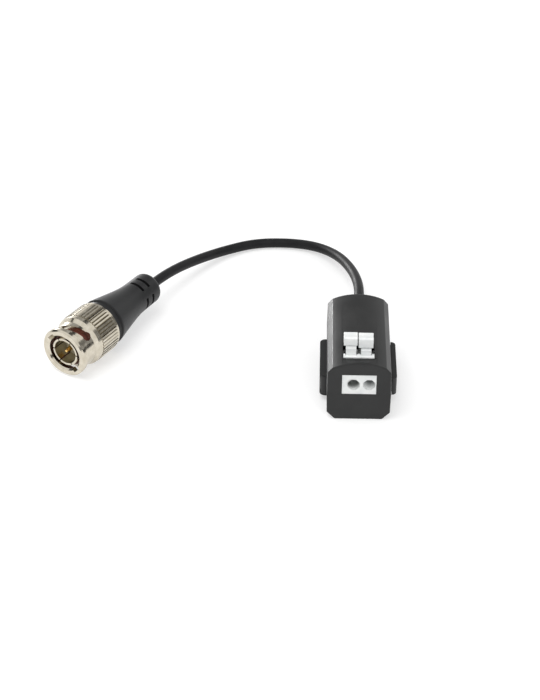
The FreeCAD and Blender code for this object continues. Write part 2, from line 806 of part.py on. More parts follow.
def pigtailPlug():
    couplingNut()
    plugBody()
    retainingRing()
    springWasher()
    turnedPiece("slip_washer", rectangle(
        "flange_bore", washerFace, collarRadius, f"{washerFace} + washer_thick"))
    turnedPiece("sealing_gasket", rectangle(
        "sleeve_radius + fit_gap / 2", "gasket_start",
        "socket_radius - fit_gap", "collar_start"))
    turnedPiece("plug_insulator", rectangle(
        "pin_radius + fit_gap / 2", "insulator_start",
        "sleeve_bore - fit_gap / 2", "insulator_end"))
    turnedPiece("centre_pin", [
        ("0", "pin_start"), ("pin_radius / 2", "pin_start"),
        ("pin_radius", "pin_start + 1.5 * pin_radius"),
        ("pin_radius", "insulator_end + fit_gap / 2"),
        ("core_radius", "insulator_end + fit_gap / 2"),
        ("core_radius", "pin_end"), ("0", "pin_end"),
    ])
    turnedPiece("cable_core", rectangle(
        "0", "pin_end + fit_gap / 2", "core_radius", "ferrule_end"))
    inner = "stem_radius + fit_gap / 2"
    throat = "core_radius + fit_gap"
    shoulder = "stem_end + ferrule_wall"
    turnedPiece("crimp_ferrule", [
        (inner, f"{bootStart} + ferrule_wall"), (ferruleRadius, f"{bootStart} + ferrule_wall"),
        (ferruleRadius, f"{shoulder} + ferrule_wall"),
        (f"{ferruleRadius} - ferrule_wall", f"{shoulder} + 2 * ferrule_wall"),
        (f"{ferruleRadius} - ferrule_wall", "ferrule_end"), (throat, "ferrule_end"),
        (throat, shoulder), (inner, shoulder),
    ])
    cableBoot()


def cableBoot():
    """Moulded boot: cone, neck, and two rings of arc slots that let the neck bend."""
    cavity = f"{ferruleRadius} + fit_gap"
    collar = f"{bootStart} + boot_collar_length"
    body = turnedPiece("cable_boot", [
        (cavity, "nut_length"), (f"{bodyRadius} - fit_gap", "nut_length"),
        (f"{bodyRadius} - fit_gap", bootStart), ("boot_collar", bootStart),
        ("boot_collar", collar), ("boot_radius", f"{collar} + boot_gap"),
        ("boot_neck", "boot_taper_end"), ("boot_neck", "boot_end - boot_end_bevel"),
        ("boot_neck - boot_end_bevel", "boot_end"), ("cable_radius + cable_gap", "boot_end"),
        ("cable_radius + cable_gap", "ferrule_end"), (cavity, "ferrule_end"),
    ])
    for name, place in (("First", "0"), ("Second", "relief_pitch")):
        slot = newSketch(body, name + "Relief", "XZ_Plane")
        start = f"relief_first + {place}"
        addLoop(slot, rectangle(
            "boot_neck - relief_depth", start, "boot_radius", f"{start} + relief_width"))
        cut = turned(body, slot, "Groove", "relief_angle")
        aroundAxis(body, cut, "relief_count")


# Cable, as straight runs joined by tangent arcs
def signalCable():
    exitHeight = number("seam_height")
    route = [
        FreeCAD.Vector(0, number(cableStart), exitHeight),
        FreeCAD.Vector(0, 22.0, exitHeight),
        FreeCAD.Vector(0.9, 32.3, 7.8),
        FreeCAD.Vector(0.1, 42.3, 6.6),
        FreeCAD.Vector(-2.6, 52.6, 5.0),
        FreeCAD.Vector(-6.4, 60.7, 3.4),
        FreeCAD.Vector(-12.0, 66.5, 2.2),
        FreeCAD.Vector(-19.8, 69.3, 1.5),
        FreeCAD.Vector(-29.9, 68.8, 1.45),
        FreeCAD.Vector(-38.9, 63.1, 2.1),
        FreeCAD.Vector(-45.9, 54.9, 4.1),
        FreeCAD.Vector(-51.7, 46.3, 6.1),
        alongPlug(number("ferrule_end") + 10.0),
        alongPlug(number("ferrule_end")),
    ]
    edges = []
    here = route[0]
    for before, corner, after in zip(route, route[1:], route[2:]):
        back = before - corner
        ahead = after - corner
        reach = 0.45 * min(back.Length, ahead.Length)
        halfTurn = (math.pi - back.getAngle(ahead)) / 2
        radius = reach / math.tan(halfTurn)
        back.normalize()
        ahead.normalize()
        start = corner + back * reach
        finish = corner + ahead * reach
        inward = (back + ahead).normalize()
        middle = corner + inward * (radius / math.cos(halfTurn) - radius)
        edges.append(Part.LineSegment(here, start).toShape())
        edges.append(Part.Arc(start, middle, finish).toShape())
        here = finish
        print(f"cable turn {math.degrees(2 * halfTurn):.1f} degrees, radius {radius:.1f} mm")
    edges.append(Part.LineSegment(here, route[-1]).toShape())
    path = Part.Wire(edges)
    radius = number("cable_radius")
    section = Part.Wire(Part.makeCircle(radius, route[0], route[1] - route[0]))
    tube = path.makePipeShell([section], True, False)
    expected = math.pi * radius**2 * path.Length
    print(f"cable length {path.Length:.1f} mm, volume {tube.Volume:.1f}, expected {expected:.1f}")
    if abs(tube.Volume / expected - 1) > 0.01:
        raise RuntimeError("the cable's volume is not its section times its length")
    cable = doc.addObject("Part::Feature", "signal_cable")
    cable.Label = "signal_cable"
    cable.Shape = tube


# Build everything
upperShell()
lowerShell()
terminalBlock()
for side, place in (("left", "-0.5"), ("right", "0.5")):
    pushButton("push_button_" + side, place)
    clampSpring("clamp_spring_" + side, place)
    contactBar("contact_bar_" + side, place)
circuitBoard()
balunCore()
coreWinding("line_winding", 180)
coreWinding("video_winding", 0)
for side, sign in (("left", "-"), ("right", "")):
    boardChip("capacitor_" + side, "chip_length", "chip_width", "chip_height",
              f"{sign}chip_spacing", "-chip_place")
boardChip("surge_suppressor", "diode_length", "diode_width", "diode_height",
          "-diode_side", f"{boardBack} - diode_back")
solderWire("core_wire", "0")
solderWire("shield_wire", "wire_side")
cableAnchor()
pigtailPlug()
signalCable()
doc.recompute()

# Check, then write one file for each piece
kinds = ("PartDesign::Body", "Part::Box", "Part::Cylinder", "Part::Feature")
pieces = [item for item in doc.Objects if item.TypeId in kinds]
for item in doc.Objects:
    if "Invalid" in item.State or "Error" in item.State:
        raise RuntimeError(f"{item.Label} has failed")
os.makedirs("parts", exist_ok=True)
for piece in pieces:
    if piece.Shape.isNull() or not piece.Shape.isValid():
        raise RuntimeError(f"{piece.Label} has no valid solid")
    piece.Shape.exportStep(f"parts/{piece.Label}.step")
print(len(pieces), "pieces written")
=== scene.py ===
import bmesh
import bpy
import json
import math
from mathutils import Matrix, Vector


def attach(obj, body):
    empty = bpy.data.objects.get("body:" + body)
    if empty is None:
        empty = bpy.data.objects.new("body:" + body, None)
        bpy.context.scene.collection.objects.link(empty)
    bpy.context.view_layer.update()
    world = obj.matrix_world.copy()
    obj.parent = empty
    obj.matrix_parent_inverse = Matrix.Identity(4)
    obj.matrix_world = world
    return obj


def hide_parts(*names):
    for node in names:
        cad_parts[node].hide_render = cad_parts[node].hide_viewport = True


# Video balun with a coaxial pigtail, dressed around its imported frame.
# Metres, or mm where a note says so. The housing stands on z = 0 and its terminals look to -Y.

print("balun: loading the frame")
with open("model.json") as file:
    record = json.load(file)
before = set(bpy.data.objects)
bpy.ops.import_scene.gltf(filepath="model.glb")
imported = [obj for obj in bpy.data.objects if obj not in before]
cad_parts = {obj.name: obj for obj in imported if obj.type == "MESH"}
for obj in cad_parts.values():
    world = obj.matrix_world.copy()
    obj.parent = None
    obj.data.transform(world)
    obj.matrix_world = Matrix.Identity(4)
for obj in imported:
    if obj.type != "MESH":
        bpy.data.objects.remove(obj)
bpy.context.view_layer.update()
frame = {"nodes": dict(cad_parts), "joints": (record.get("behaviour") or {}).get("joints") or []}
nodes = frame["nodes"]
mm = 0.001


def newObject(name, data):
    thing = bpy.data.objects.new(name, data)
    bpy.context.scene.collection.objects.link(thing)
    return thing


# Camera, where the photograph was taken
camera = {
    "place": (-12.28 * mm, -380.83 * mm, 271.87 * mm),
    "tilt": 55.5,      # degrees up from straight down
    "turn": 1.66,      # degrees about the vertical
    "lens": 89.96,     # mm
    "sensor": 36.0,    # mm along the picture's long side
    "nearest": 0.01,
    "farthest": 10.0,
}


def makeCamera():
    data = bpy.data.cameras.new("studioCamera")
    data.lens = camera["lens"]
    data.sensor_width = camera["sensor"]
    data.clip_start = camera["nearest"]
    data.clip_end = camera["farthest"]
    viewer = newObject("studioCamera", data)
    viewer.location = camera["place"]
    viewer.rotation_euler = (math.radians(camera["tilt"]), 0, math.radians(camera["turn"]))
    bpy.context.scene.camera = viewer


makeCamera()

# Signal cable, along the same points as its solid
cable = {
    "diameter": 2.8 * mm,
    "length": 127.6 * mm,
    "wallExit": (0.0, 16.5 * mm, 8.0 * mm),
    "route": [          # mm
        (0.0, 12.5, 8.0), (0.0, 22.0, 8.0), (0.9, 32.3, 7.8), (0.1, 42.3, 6.6),
        (-2.6, 52.6, 5.0), (-6.4, 60.7, 3.4), (-12.0, 66.5, 2.2), (-19.8, 69.3, 1.5),
        (-29.9, 68.8, 1.45), (-38.9, 63.1, 2.1), (-45.9, 54.9, 4.1), (-51.7, 46.3, 6.1),
        (-56.55, 37.95, 7.25), (-61.62, 29.33, 7.25),
    ],
    "roundSteps": 9,
    "lengthSteps": 20,    # between two points of the route
}


def makeCable():
    curve = bpy.data.curves.new("signalCable", "CURVE")
    curve.dimensions = "3D"
    curve.bevel_depth = 1.0    # a tube of one metre, which each point's radius brings to size
    curve.bevel_resolution = cable["roundSteps"]
    curve.resolution_u = cable["lengthSteps"]
    curve.use_fill_caps = True
    spline = curve.splines.new("NURBS")
    spline.points.add(len(cable["route"]) - 1)
    for point, (x, y, z) in zip(spline.points, cable["route"]):
        point.co = (x * mm, y * mm, z * mm, 1)
        point.radius = cable["diameter"] / 2
    spline.order_u = 3
    spline.use_endpoint_u = True
    cord = newObject("signalCable", curve)
    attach(cord, "housing")
    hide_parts("signal_cable")
    return cord


print("balun: laying the cable")
cableCord = makeCable()


# Finishes, one for each material slot. What a look doesn't say is taken from here
plainLook = {
    "metallic": 0.0,
    "shine": 0.5,
    "colourBlend": (0.35, 0.65),    # noise at which dark and light are reached
    "glossBlend": (0.3, 0.7),       # noise at which smooth and rough are reached
    "cloudDetail": 3,
    "grainDetail": 2,
    # rays of the occlusion mask for the painted crevice shade
    "creviceShadeRays": 8,
}


def speckle(finish, size, detail):
    # noise of a given grain size, fixed to the piece
    tree = finish.node_tree
    place = tree.nodes.new("ShaderNodeTexCoord")
    noise = tree.nodes.new("ShaderNodeTexNoise")
    noise.inputs["Scale"].default_value = 1 / size
    noise.inputs["Detail"].default_value = detail
    tree.links.new(place.outputs["Object"], noise.inputs["Vector"])
    return noise.outputs["Fac"]


def blendColour(finish, shader, factor, look):
    low, high = look["colourBlend"]
    tree = finish.node_tree
    ramp = tree.nodes.new("ShaderNodeValToRGB")
    ramp.color_ramp.elements[0].position = low
    ramp.color_ramp.elements[0].color = (*look["dark"], 1)
    ramp.color_ramp.elements[1].position = high
    ramp.color_ramp.elements[1].color = (*look["light"], 1)
    tree.links.new(factor, ramp.inputs["Fac"])
    tree.links.new(ramp.outputs["Color"], shader.inputs["Base Color"])


def unevenGloss(finish, shader, factor, look):
    low, high = look["glossBlend"]
    tree = finish.node_tree
    spread = tree.nodes.new("ShaderNodeMapRange")
    spread.inputs["From Min"].default_value = low
    spread.inputs["From Max"].default_value = high
    spread.inputs["To Min"].default_value = look["smooth"]
    spread.inputs["To Max"].default_value = look["rough"]
    tree.links.new(factor, spread.inputs["Value"])
    tree.links.new(spread.outputs["Result"], shader.inputs["Roughness"])


def grain(finish, shader, factor, depth):
    tree = finish.node_tree
    bump = tree.nodes.new("ShaderNodeBump")
    bump.inputs["Strength"].default_value = 1.0
    bump.inputs["Distance"].default_value = depth
    tree.links.new(factor, bump.inputs["Height"])
    tree.links.new(bump.outputs["Normal"], shader.inputs["Normal"])


def cloudyFinish(name, look):
    # colour and gloss drift like a cloud, and a fine grain lies over them
    look = {**plainLook, **look}
    finish = bpy.data.materials.new(name)
    finish.use_nodes = True
    shader = finish.node_tree.nodes["Principled BSDF"]
    shader.inputs["Metallic"].default_value = look["metallic"]
    shader.inputs["Specular IOR Level"].default_value = look["shine"]
    cloud = speckle(finish, look["cloudSize"], look["cloudDetail"])
    blendColour(finish, shader, cloud, look)
    unevenGloss(finish, shader, cloud, look)
    fine = speckle(finish, look["grainSize"], look["grainDetail"])
    grain(finish, shader, fine, look["grainDepth"])
    return finish


def paintShade(finish, factor, colour):
    # painted shade: blends the shader's colour towards a darker one, all the way where the factor
    # is 0
    tree = finish.node_tree
    shader = tree.nodes["Principled BSDF"]
    blend = tree.nodes.new("ShaderNodeMix")
    blend.data_type = "RGBA"
    blend.inputs["A"].default_value = (*colour, 1)
    tree.links.new(factor, blend.inputs["Factor"])
    tree.links.new(shader.inputs["Base Color"].links[0].from_socket, blend.inputs["B"])
    tree.links.new(blend.outputs["Result"], shader.inputs["Base Color"])


def paintCreviceShade(finish, reach, colour):
    # painted shade: darker inside grooves and holes, where less light reaches
    creviceShade = finish.node_tree.nodes.new("ShaderNodeAmbientOcclusion")
    creviceShade.samples = plainLook["creviceShadeRays"]
    creviceShade.inputs["Distance"].default_value = reach
    creviceShade.only_local = True
    paintShade(finish, creviceShade.outputs["AO"], colour)


def paintShadeSpot(finish, middle, full, faded, colour):
    # painted shade: darker round a point of the piece, fully within one radius and not beyond the
    # other
    tree = finish.node_tree
    place = tree.nodes.new("ShaderNodeTexCoord")
    away = tree.nodes.new("ShaderNodeVectorMath")
    away.operation = "DISTANCE"
    away.inputs[1].default_value = middle
    fade = tree.nodes.new("ShaderNodeMapRange")
    fade.interpolation_type = "SMOOTHSTEP"
    fade.inputs["From Min"].default_value = full
    fade.inputs["From Max"].default_value = faded
    tree.links.new(place.outputs["Object"], away.inputs[0])
    tree.links.new(away.outputs["Value"], fade.inputs["Value"])
    paintShade(finish, fade.outputs["Result"], colour)


housingLook = {
    "dark": (0.0080, 0.0083, 0.0085),
    "light": (0.0125, 0.0128, 0.0128),
    "smooth": 0.30,
    "rough": 0.40,
    "shine": 0.42,
    "cloudSize": 5 * mm,
    "grainSize": 0.22 * mm,
    "grainDepth": 0.010 * mm,
}

bootLook = {
    "dark": (0.0080, 0.0083, 0.0090),
    "light": (0.0125, 0.0128, 0.0135),
    "smooth": 0.36,
    "rough": 0.48,
    "shine": 0.38,
    "cloudSize": 4 * mm,
    "grainSize": 0.18 * mm,
    "grainDepth": 0.010 * mm,
}

cableLook = {
    "dark": (0.004, 0.004, 0.005),
    "light": (0.009, 0.009, 0.010),
    "smooth": 0.44,
    "rough": 0.56,
    "shine": 0.24,
    "cloudSize": 3 * mm,
    "grainSize": 0.9 * mm,
    "grainDepth": 0.012 * mm,
}

terminalLook = {
    "dark": (0.77, 0.79, 0.79),
    "light": (0.86, 0.87, 0.86),
    "smooth": 0.28,
    "rough": 0.40,
    "cloudSize": 2.5 * mm,
    "grainSize": 0.35 * mm,
    "grainDepth": 0.004 * mm,
    # painted shade in the crevices: its colour and how far the darkening reaches
    "creviceShade": (0.34, 0.35, 0.35),
    "creviceShadeReach": 2.4 * mm,
    # painted shade: the colour darkens round a point inside the left wire entry
    "leftEntryShadeMiddle": (-1.75 * mm, -14.9 * mm, 11.3 * mm),    # the left wire entry is darker inside
    "leftEntryShadeFull": 1.35 * mm,
    "leftEntryShadeEnd": 2.25 * mm,
    "leftEntryShadeColour": (0.12, 0.125, 0.12),
}


def terminalPlastic():
    finish = cloudyFinish("terminalPlastic", terminalLook)
    # painted shade in the crevices and round a point inside the left wire entry
    paintCreviceShade(finish, terminalLook["creviceShadeReach"], terminalLook["creviceShade"])
    paintShadeSpot(finish, terminalLook["leftEntryShadeMiddle"], terminalLook["leftEntryShadeFull"],
             terminalLook["leftEntryShadeEnd"], terminalLook["leftEntryShadeColour"])
    return finish


nickelLook = {
    "metallic": 1.0,
    "dark": (0.56, 0.51, 0.41),
    "light": (0.69, 0.64, 0.54),
    "colourBlend": (0.3, 0.7),
    "smooth": 0.12,
    "rough": 0.22,
    "cloudSize": 1.6 * mm,
    "grainSize": 0.5 * mm,
    "grainDetail": 4,
    "grainDepth": 0.0015 * mm,
    # painted shade in the knurl grooves and other crevices: its colour and reach
    "groove": (0.10, 0.08, 0.05),
    "grooveReach": 0.9 * mm,
}


def nickelPlate():
    finish = cloudyFinish("nickelPlate", nickelLook)
    # painted shade in the crevices
    paintCreviceShade(finish, nickelLook["grooveReach"], nickelLook["groove"])
    return finish


def softMetal(name, dark, light, smooth, rough):
    return cloudyFinish(name, {
        "metallic": 1.0, "dark": dark, "light": light, "smooth": smooth, "rough": rough,
        "cloudSize": 0.8 * mm, "grainSize": 0.3 * mm, "grainDetail": 3, "grainDepth": 0.003 * mm})


def moulded(name, dark, light, smooth, rough, size):
    # its grain is an eighth of its cloud
    return cloudyFinish(name, {
        "dark": dark, "light": light, "smooth": smooth, "rough": rough,
        "cloudSize": size, "grainSize": size / 8, "grainDepth": 0.006 * mm})


print("balun: mixing the finishes")
finishes = {
    "housing_plastic": cloudyFinish("housingPlastic", housingLook),
    "terminal_plastic": terminalPlastic(),
    "nickel": nickelPlate(),
    "boot": cloudyFinish("bootRubber", bootLook),
    "cable_jacket": cloudyFinish("cableJacket", cableLook),
    "spring_steel": softMetal("springSteel", (0.48, 0.48, 0.47), (0.62, 0.62, 0.60), 0.2, 0.35),
    "tinned_brass": softMetal("tinnedBrass", (0.60, 0.59, 0.55), (0.74, 0.73, 0.70), 0.2, 0.38),
    "copper": softMetal("enamelledCopper", (0.50, 0.20, 0.08), (0.68, 0.33, 0.16), 0.2, 0.35),
    "gold": softMetal("goldPlate", (0.80, 0.50, 0.16), (0.95, 0.68, 0.28), 0.14, 0.26),
    "board": moulded("boardMask", (0.02, 0.14, 0.05), (0.04, 0.20, 0.08), 0.3, 0.45, 2 * mm),
    "ferrite": moulded("ferrite", (0.05, 0.05, 0.055), (0.09, 0.09, 0.10), 0.5, 0.7, 1 * mm),
    "ceramic": moulded("chipCeramic", (0.44, 0.33, 0.2), (0.56, 0.43, 0.29), 0.3, 0.5, 1 * mm),
    "chip_body": moulded("chipBody", (0.02, 0.02, 0.02), (0.035, 0.035, 0.035),
                         0.5, 0.6, 1 * mm),
    "gasket": moulded("siliconeGasket", (0.075, 0.016, 0.010), (0.13, 0.032, 0.020),
                      0.35, 0.5, 1 * mm),
    "insulator": moulded("insulator", (0.34, 0.31, 0.20), (0.52, 0.48, 0.34),
                         0.3, 0.45, 2 * mm),
}


def dressNodes():
    # each CAD node carries its slot's name as its material
    for node in nodes.values():
        slotName = node.data.materials[0].name
        node.data.materials[0] = finishes[slotName]
    cableCord.data.materials.append(finishes["cable_jacket"])


dressNodes()


# What the added pieces and their cutters are made with
def meshSkin(name, mesh, slotName=None):
    bmesh.ops.recalc_face_normals(mesh, faces=mesh.faces)
    skin = bpy.data.meshes.new(name)
    mesh.to_mesh(skin)
    mesh.free()
    if slotName:
        skin.materials.append(finishes[slotName])
    return skin


def plainBox(name, low, high, slotName=None):
    # corners in mm
    mesh = bmesh.new()
    bmesh.ops.create_cube(mesh, size=1)
    for corner in mesh.verts:
        for axis in range(3):
            share = corner.co[axis] + 0.5
            corner.co[axis] = (low[axis] + (high[axis] - low[axis]) * share) * mm
    return newObject(name, meshSkin(name, mesh, slotName))


def addPrism(mesh, near, far):
    # two outlines in mm, capped and joined side by side
    near, far = [[mesh.verts.new([value * mm for value in point]) for point in outline]
                 for outline in (near, far)]
    mesh.faces.new(near)
    mesh.faces.new(reversed(far))
    for here in range(len(near)):
        after = (here + 1) % len(near)
        mesh.faces.new((near[after], near[here], far[here], far[after]))


def hideCutter(cutter):
    cutter.hide_render = True


def cutAway(piece, cutter):
    cut = piece.modifiers.new(cutter.name, "BOOLEAN")
    cut.operation = "DIFFERENCE"
    cut.solver = "EXACT"
    cut.object = cutter


bevelSteps = 3    # facets across a softened edge


def softBevel(piece, width, sharpAngle):
    # width in mm, and the angle in degrees from which an edge is softened
    soft = piece.modifiers.new("softEdge", "BEVEL")
    soft.width = width * mm
    soft.segments = bevelSteps
    soft.limit_method = "ANGLE"
    soft.angle_limit = math.radians(sharpAngle)
    even = piece.modifiers.new("evenShade", "WEIGHTED_NORMAL")
    even.keep_sharp = False


# Well behind the white front strip, with a notch in the strip for each button's stem
wells = {                     # mm
    "stemWell": ((-4.4, -11.5, 10.5), (4.0, -6.4, 17.6)),
    "leftNotch": ((-3.65, -12.15, 11.8), (-0.75, -11.4, 17.6)),
    "rightNotch": ((0.2, -12.15, 11.8), (3.1, -11.4, 17.6)),
}


def cutWells():
    for name, (low, high) in wells.items():
        cutter = plainBox(name + "Cutter", low, high)
        hideCutter(cutter)
        cutAway(nodes["terminal_block"], cutter)


# Rounded ends of the rails on the housing's sides, seen from above
rails = {                     # mm
    "ends": {                 # corner, radius
        "channelFront": ((-10.1, -8.5), 1.5),
        "channelBack": ((-10.1, 8.5), 1.5),
        "tongueFront": ((10.1, -8.5), 1.2),
        "tongueBack": ((10.1, 8.5), 1.3),
    },
    "low": 1.0,
    "high": 8.6,
    "margin": 0.4,            # how far a cutter reaches past the rail
    "roundSteps": 10,
}


def makeRailCutter(name):
    (x, y), radius = rails["ends"][name]
    inX = -1 if x > 0 else 1    # towards the rail's middle
    inY = -1 if y > 0 else 1
    margin, steps = rails["margin"], rails["roundSteps"]
    outline = [(x - inX * margin, y - inY * margin), (x - inX * margin, y + inY * radius)]
    for step in range(steps + 1):
        angle = math.radians(90 * step / steps)
        outline.append((x + inX * radius * (1 - math.cos(angle)),
                        y + inY * radius * (1 - math.sin(angle))))
    outline.append((x + inX * radius, y - inY * margin))
    mesh = bmesh.new()
    addPrism(mesh, [(*point, rails["low"]) for point in outline],
             [(*point, rails["high"]) for point in outline])
    cutter = newObject(name + "Cutter", meshSkin(name + "Cutter", mesh))
    hideCutter(cutter)
    return cutter


# Softened edges of the housing's moulded pieces
edges = {
    "widths": {"upper_shell": 0.20, "lower_shell": 0.14, "terminal_block": 0.10},    # mm
    "mergeWithin": 0.0005,    # mm
    "flatWithin": 0.5,        # degrees
    "sharpFrom": 38,          # degrees
}


def softenEdges():
    for name, width in edges["widths"].items():
        piece = nodes[name]
        weld = piece.modifiers.new("joinCorners", "WELD")
        weld.merge_threshold = edges["mergeWithin"] * mm
        if name == "terminal_block":
            cutWells()
        if name == "lower_shell":
            for cutter in railCutters.values():
                cutAway(piece, cutter)
        flat = piece.modifiers.new("plainFaces", "DECIMATE")
        flat.decimate_type = "DISSOLVE"
        flat.angle_limit = math.radians(edges["flatWithin"])
        softBevel(piece, width, edges["sharpFrom"])


print("balun: cutting and softening the housing")
railCutters = {name: makeRailCutter(name) for name in rails["ends"]}
softenEdges()

# Push buttons, each a ridged head on a flat stem
buttons = {                   # mm
    "left": {"stemMiddle": -2.2, "headMiddle": -2.35, "headHalf": 1.77,
             "headLow": 19.3, "headTop": 21.75},
    "right": {"stemMiddle": 1.65, "headMiddle": 1.58, "headHalf": 1.9,
              "headLow": 18.65, "headTop": 21.6},
    "stemHalf": 1.33,
    "stemFront": -12.05,
    "stemBack": -8.45,
    "stemFoot": 14.1,
    "headFront": -11.1,
    "headBack": -8.0,
    "ridge": 0.32,
    "edge": 0.16,
    "sharpFrom": 25,          # degrees
}


def addSlab(mesh, outline, middle, half):
    # outline as (y, z) pairs, pushed out to both sides along X
    addPrism(mesh, [(middle - half, y, z) for y, z in outline],
             [(middle + half, y, z) for y, z in outline])


def makeButton(side):
    shape = buttons[side]
    front, back, ridge = buttons["headFront"], buttons["headBack"], buttons["ridge"]
    stemFront, stemBack, foot = buttons["stemFront"], buttons["stemBack"], buttons["stemFoot"]
    low, top = shape["headLow"], shape["headTop"]
    mesh = bmesh.new()
    addSlab(mesh, [(front, low), (back, low), (back, top - ridge), (back - ridge, top),
                   (back - 2 * ridge, top), (back - 3 * ridge, top - ridge),
                   (front + 3 * ridge, top - ridge), (front + 2 * ridge, top),
                   (front + ridge, top), (front, top - ridge)],
            shape["headMiddle"], shape["headHalf"])
    addSlab(mesh, [(stemFront, foot), (stemBack, foot), (stemBack, low), (stemFront, low)],
            shape["stemMiddle"], buttons["stemHalf"])
    name = "pushButton" + side.title()
    piece = newObject(name, meshSkin(name, mesh, "terminal_plastic"))
    softBevel(piece, buttons["edge"], buttons["sharpFrom"])
    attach(piece, side + "_button")
    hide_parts("push_button_" + side)


print("balun: moulding the buttons")
makeButton("left")
makeButton("right")

# Stop wall that closes the front end of the left channel
channelStop = {               # mm
    "low": (-10.12, -8.56, 1.68),
    "high": (-8.1, -7.0, 8.02),
    "edge": 0.12,
    "sharpFrom": 25,          # degrees
}


def makeChannelStop():
    piece = plainBox("channelStop", channelStop["low"], channelStop["high"], "housing_plastic")
    cutAway(piece, railCutters["channelFront"])
    softBevel(piece, channelStop["edge"], channelStop["sharpFrom"])
    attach(piece, "housing")


makeChannelStop()


# Pieces turned about the plug's axis
def plugFrame():
    # local Z runs from the lip into the plug, local Y is up
    turnJoint = next(joint for joint in frame["joints"] if joint["name"] == "nut_turn")
    along = -Vector(turnJoint["axis"])
    across = Vector((-along.y, along.x, 0))
    turn = Matrix((across, Vector((0, 0, 1)), along)).transposed().to_4x4()
    return Matrix.Translation(turnJoint["pos_m"]) @ turn


def addRing(mesh, station, radii):
    # one corner for each radius, all in mm
    ring = []
    for spoke, radius in enumerate(radii):
        angle = math.radians(360 * spoke / len(radii))
        ring.append(mesh.verts.new((radius * math.cos(angle) * mm,
                                    radius * math.sin(angle) * mm, station * mm)))
    return ring


def joinRings(mesh, rings):
    for near, far in zip(rings, rings[1:]):
        for spoke in range(len(near)):
            after = (spoke + 1) % len(near)
            mesh.faces.new((near[spoke], near[after], far[after], far[spoke]))


def turnedPiece(name, mesh, slotName, sharpAngle):
    skin = meshSkin(name, mesh, slotName)
    skin.transform(plugFrame())
    skin.shade_smooth()
    skin.set_sharp_from_angle(angle=math.radians(sharpAngle))
    return newObject(name, skin)


# Red gasket round the sleeve, which shows through the lug slots
gasket = {                    # mm, stations from the lip
    "start": 2.4,
    "stop": 9.2,
    "inner": 4.05,
    "outer": 4.8,
    "edge": 0.2,
    "spokes": 96,
    "sharpFrom": 40,          # degrees
}


def makeGasket():
    near, far, edge = gasket["start"], gasket["stop"], gasket["edge"]
    inner, outer = gasket["inner"], gasket["outer"]
    section = [(inner, near + edge), (inner + edge, near), (outer - edge, near),
               (outer, near + edge), (outer, far), (inner, far)]
    mesh = bmesh.new()
    rings = [addRing(mesh, station, [radius] * gasket["spokes"]) for radius, station in section]
    joinRings(mesh, rings + rings[:1])
    piece = turnedPiece("sealingGasket", mesh, "gasket", gasket["sharpFrom"])
    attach(piece, "housing")
    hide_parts("sealing_gasket")
    return piece


# Cable boot: one turned skin with two rings of arc slots
boot = {                      # mm, stations from the lip
    "start": 15.9,
    "innerRadius": 4.2,
    "collarRadius": 6.35,
    "collarEdge": 0.15,
    "collarStop": 17.4,
    "shoulderFoot": (17.6, 6.6),    # station, radius
    "shoulder": 17.7,
    "shoulderRadius": 6.85,
    "shoulderRound": 0.3,
    "shoulderSteps": 4,
    "taperEnd": 29.8,
    "taperSteps": 29,
    "neckRadius": 4.48,
    "waistBlend": 0.28,       # how softly the taper runs into the neck
    "slotStarts": (32.0, 34.7),
    "slotWidth": 0.85,
    "slotDepth": 0.95,
    "slotHalfAngle": 27.5,    # degrees
    "slotTurn": 15.0,         # degrees
    "slotClear": 0.4,         # plain neck before the first slot
    "slotLip": 0.05,          # narrow rows that keep a slot's rim crisp
    "slotWall": 0.01,         # how far a slot's wall leans
    "end": 39.58,
    "endRound": 1.7,
    "endSteps": 10,
    "cableRadius": 1.42,
    "cableEdge": 0.25,
    "spokes": 144,
    "sharpFrom": 50,          # degrees
}


def bootRadius(station):
    share = (station - boot["shoulder"]) / (boot["taperEnd"] - boot["shoulder"])
    over = (boot["shoulderRadius"] - boot["neckRadius"]) * (1 - share)
    soft = boot["waistBlend"]
    return boot["neckRadius"] + soft * math.log1p(math.exp(over / soft))


def quarterRound(steps):
    # the cosines and sines of a quarter turn
    for step in range(steps + 1):
        angle = math.radians(90 * step / steps)
        yield math.cos(angle), math.sin(angle)


def bootStations():
    # (station, radius, in a slot ring) from the front hole to the cable
    edge, lip, wall = boot["collarEdge"], boot["slotLip"], boot["slotWall"]
    bend = boot["shoulderRound"]
    taperStart = boot["shoulder"] + bend
    taperStop = boot["slotStarts"][0] - boot["slotClear"]
    rows = [(boot["start"], boot["innerRadius"], False),
            (boot["start"], boot["collarRadius"] - edge, False),
            (boot["start"] + edge, boot["collarRadius"], False),
            (boot["collarStop"], boot["collarRadius"], False),
            (*boot["shoulderFoot"], False)]
    for cosine, sine in quarterRound(boot["shoulderSteps"]):
        rows.append((taperStart - bend * cosine, bootRadius(taperStart) - bend + bend * sine,
                     False))
    for step in range(1, boot["taperSteps"] + 1):
        station = taperStart + (taperStop - taperStart) * step / boot["taperSteps"]
        rows.append((station, bootRadius(station), False))
    for start in boot["slotStarts"]:
        stop = start + boot["slotWidth"]
        for station, inSlot in ((start - lip, False), (start, False), (start + wall, True),
                                (stop - wall, True), (stop, False), (stop + lip, False)):
            rows.append((station, bootRadius(station), inSlot))
    for cosine, sine in quarterRound(boot["endSteps"]):
        rows.append((boot["end"] - boot["endRound"] * (1 - sine),
                     boot["neckRadius"] - boot["endRound"] * (1 - cosine), False))
    rows.append((boot["end"], boot["cableRadius"] + boot["cableEdge"], False))
    rows.append((boot["end"] - boot["cableEdge"], boot["cableRadius"], False))
    return rows


